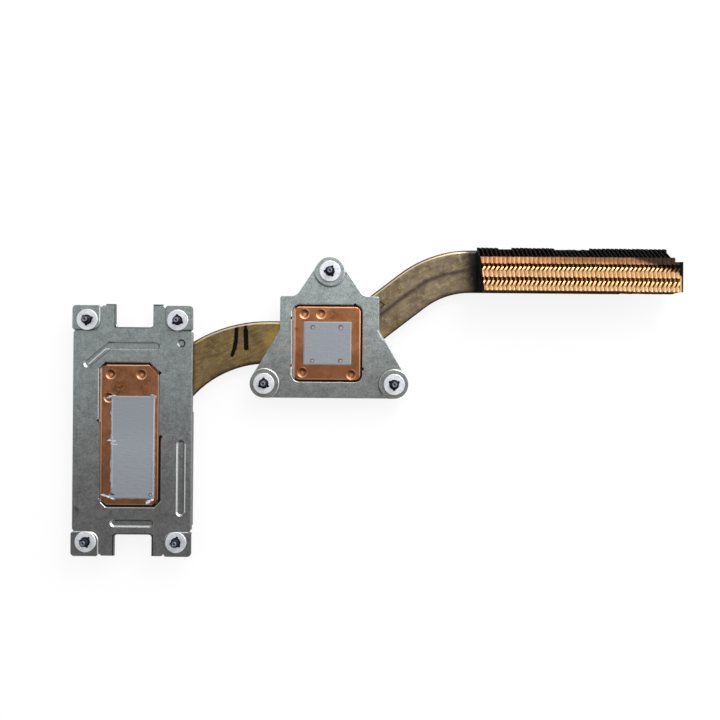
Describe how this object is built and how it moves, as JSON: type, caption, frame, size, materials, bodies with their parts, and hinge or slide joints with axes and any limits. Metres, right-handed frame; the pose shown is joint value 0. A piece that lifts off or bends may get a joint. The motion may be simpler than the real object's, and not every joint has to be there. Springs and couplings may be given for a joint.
{
  "type": "laptop heatsink",
  "caption": "Heat pipe cooler without its fan: two screw-down plates with copper contact bases, a flat bent heat pipe and a folded copper fin stack",
  "frame": {"origin": "centre of the processor's four screws, in the plane of the paste's face", "axes": "+X from the processor plate to the fins, +Y to the exhaust side, +Z towards the circuit board"},
  "size_m": [0.1605, 0.083, 0.0113],
  "materials": {
    "plate_steel": "matte, grainy zinc",
    "cpu_copper": "satin",
    "gpu_copper": "satin",
    "thermal_paste": "matte",
    "pipe_copper": "dulled, oxidised",
    "wick_copper": "sintered",
    "fin_copper": "bright, painted black on the exhaust side",
    "black_steel": "black oxide",
    "ring_steel": "bright zinc",
    "spring_steel": "bright wire"
  },
  "bodies": {
    "frame": {"cpu_plate": "plate_steel", "cpu_base": "cpu_copper", "cpu_thermal_paste": "thermal_paste", "gpu_plate": "plate_steel", "gpu_base": "gpu_copper", "gpu_thermal_paste": "thermal_paste", "heat_pipe": "pipe_copper", "heat_pipe_wick": "wick_copper", "fin_stack": "fin_copper", "cpu_spring_1": "spring_steel", "cpu_spring_2": "spring_steel", "cpu_spring_3": "spring_steel", "cpu_spring_4": "spring_steel", "gpu_spring_1": "spring_steel", "gpu_spring_2": "spring_steel", "gpu_spring_3": "spring_steel"},
    "cpu_ring_1_body": {"cpu_ring_1": "ring_steel"},
    "cpu_screw_1_body": {"cpu_screw_1": "black_steel"},
    "cpu_ring_2_body": {"cpu_ring_2": "ring_steel"},
    "cpu_screw_2_body": {"cpu_screw_2": "black_steel"},
    "cpu_ring_3_body": {"cpu_ring_3": "ring_steel"},
    "cpu_screw_3_body": {"cpu_screw_3": "black_steel"},
    "cpu_ring_4_body": {"cpu_ring_4": "ring_steel"},
    "cpu_screw_4_body": {"cpu_screw_4": "black_steel"},
    "gpu_ring_1_body": {"gpu_ring_1": "ring_steel"},
    "gpu_screw_1_body": {"gpu_screw_1": "black_steel"},
    "gpu_ring_2_body": {"gpu_ring_2": "ring_steel"},
    "gpu_screw_2_body": {"gpu_screw_2": "black_steel"},
    "gpu_ring_3_body": {"gpu_ring_3": "ring_steel"},
    "gpu_screw_3_body": {"gpu_screw_3": "black_steel"}
  },
  "joints": [
    {"name": "cpu_screw_1_press", "type": "slide", "parent": "frame", "child": "cpu_ring_1_body", "axis": [0, 0, 1], "range_m": [0, 0.0016], "stiffness_N_per_m": 2500, "springref_m": -0.0002, "deforming": ["cpu_spring_1"]},
    {"name": "cpu_screw_1_turn", "type": "hinge", "parent": "cpu_ring_1_body", "child": "cpu_screw_1_body", "pos_m": [-0.012, 0.0295, 0], "axis": [0, 0, 1], "continuous": true},
    {"name": "cpu_screw_2_press", "type": "slide", "parent": "frame", "child": "cpu_ring_2_body", "axis": [0, 0, 1], "range_m": [0, 0.0016], "stiffness_N_per_m": 2500, "springref_m": -0.0002, "deforming": ["cpu_spring_2"]},
    {"name": "cpu_screw_2_turn", "type": "hinge", "parent": "cpu_ring_2_body", "child": "cpu_screw_2_body", "pos_m": [0.012, 0.0295, 0], "axis": [0, 0, 1], "continuous": true},
    {"name": "cpu_screw_3_press", "type": "slide", "parent": "frame", "child": "cpu_ring_3_body", "axis": [0, 0, 1], "range_m": [0, 0.0016], "stiffness_N_per_m": 2500, "springref_m": -0.0002, "deforming": ["cpu_spring_3"]},
    {"name": "cpu_screw_3_turn", "type": "hinge", "parent": "cpu_ring_3_body", "child": "cpu_screw_3_body", "pos_m": [-0.012, -0.0295, 0], "axis": [0, 0, 1], "continuous": true},
    {"name": "cpu_screw_4_press", "type": "slide", "parent": "frame", "child": "cpu_ring_4_body", "axis": [0, 0, 1], "range_m": [0, 0.0016], "stiffness_N_per_m": 2500, "springref_m": -0.0002, "deforming": ["cpu_spring_4"]},
    {"name": "cpu_screw_4_turn", "type": "hinge", "parent": "cpu_ring_4_body", "child": "cpu_screw_4_body", "pos_m": [0.012, -0.0295, 0], "axis": [0, 0, 1], "continuous": true},
    {"name": "gpu_screw_1_press", "type": "slide", "parent": "frame", "child": "gpu_ring_1_body", "axis": [0, 0, 1], "range_m": [0, 0.0016], "stiffness_N_per_m": 2500, "springref_m": -0.0002, "deforming": ["gpu_spring_1"]},
    {"name": "gpu_screw_1_turn", "type": "hinge", "parent": "gpu_ring_1_body", "child": "gpu_screw_1_body", "pos_m": [0.0523, 0.0429, 0], "axis": [0, 0, 1], "continuous": true},
    {"name": "gpu_screw_2_press", "type": "slide", "parent": "frame", "child": "gpu_ring_2_body", "axis": [0, 0, 1], "range_m": [0, 0.0016], "stiffness_N_per_m": 2500, "springref_m": -0.0002, "deforming": ["gpu_spring_2"]},
    {"name": "gpu_screw_2_turn", "type": "hinge", "parent": "gpu_ring_2_body", "child": "gpu_screw_2_body", "pos_m": [0.03498, 0.0129, 0], "axis": [0, 0, 1], "continuous": true},
    {"name": "gpu_screw_3_press", "type": "slide", "parent": "frame", "child": "gpu_ring_3_body", "axis": [0, 0, 1], "range_m": [0, 0.0016], "stiffness_N_per_m": 2500, "springref_m": -0.0002, "deforming": ["gpu_spring_3"]},
    {"name": "gpu_screw_3_turn", "type": "hinge", "parent": "gpu_ring_3_body", "child": "gpu_screw_3_body", "pos_m": [0.06962, 0.0129, 0], "axis": [0, 0, 1], "continuous": true}
  ]
}
